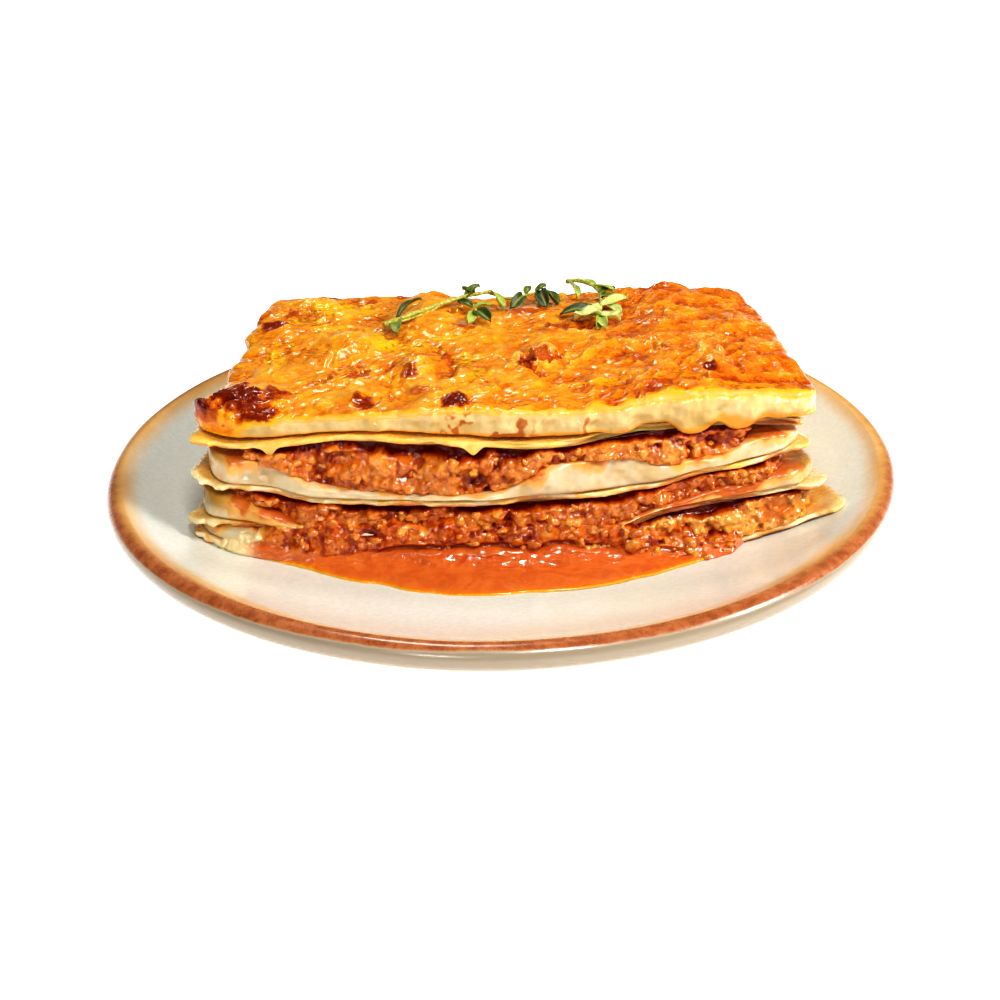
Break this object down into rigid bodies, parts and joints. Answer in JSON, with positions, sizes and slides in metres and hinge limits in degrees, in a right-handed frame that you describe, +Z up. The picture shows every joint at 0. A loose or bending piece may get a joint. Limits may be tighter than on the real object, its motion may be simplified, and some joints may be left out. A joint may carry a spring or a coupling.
{
  "type": "lasagne slice on a plate",
  "caption": "Slice of baked lasagne with meat sauce and white sauce between pasta sheets, on a round coupe plate with a pool of sauce and sprigs of thyme.",
  "frame": {"origin": "middle of the plate's foot ring, on the surface that the plate stands on", "axes": "+Z up, +X to the right and -Y towards the viewer, along the slice's long cut face"},
  "size_m": [0.22, 0.22, 0.053],
  "materials": {
    "plate": "cream glazed stoneware with a rust-orange rim",
    "sauce": "wet tomato sauce with an oily yellow edge",
    "pasta": "soft boiled pasta, cream to yellow, satin",
    "white_sauce": "smooth thick white sauce, moist",
    "meat_sauce": "minced meat in tomato sauce, orange-brown and oily",
    "cheese": "baked cheese, orange-brown crust over a pale yellow side",
    "thyme": "fresh green leaves on yellow-green stalks"
  },
  "bodies": {
    "root": {"plate": "plate", "sauce_pool": "sauce", "pasta_sheet_1": "pasta", "pasta_sheet_2": "pasta", "pasta_sheet_3": "pasta", "pasta_sheet_4": "pasta", "bechamel_1": "white_sauce", "bechamel_2": "white_sauce", "bechamel_3": "white_sauce", "meat_sauce_1": "meat_sauce", "meat_sauce_2": "meat_sauce", "meat_sauce_3": "meat_sauce", "cheese_top": "cheese", "thyme_sprig_long": "thyme", "thyme_sprig_tip": "thyme"}
  },
  "joints": []
}
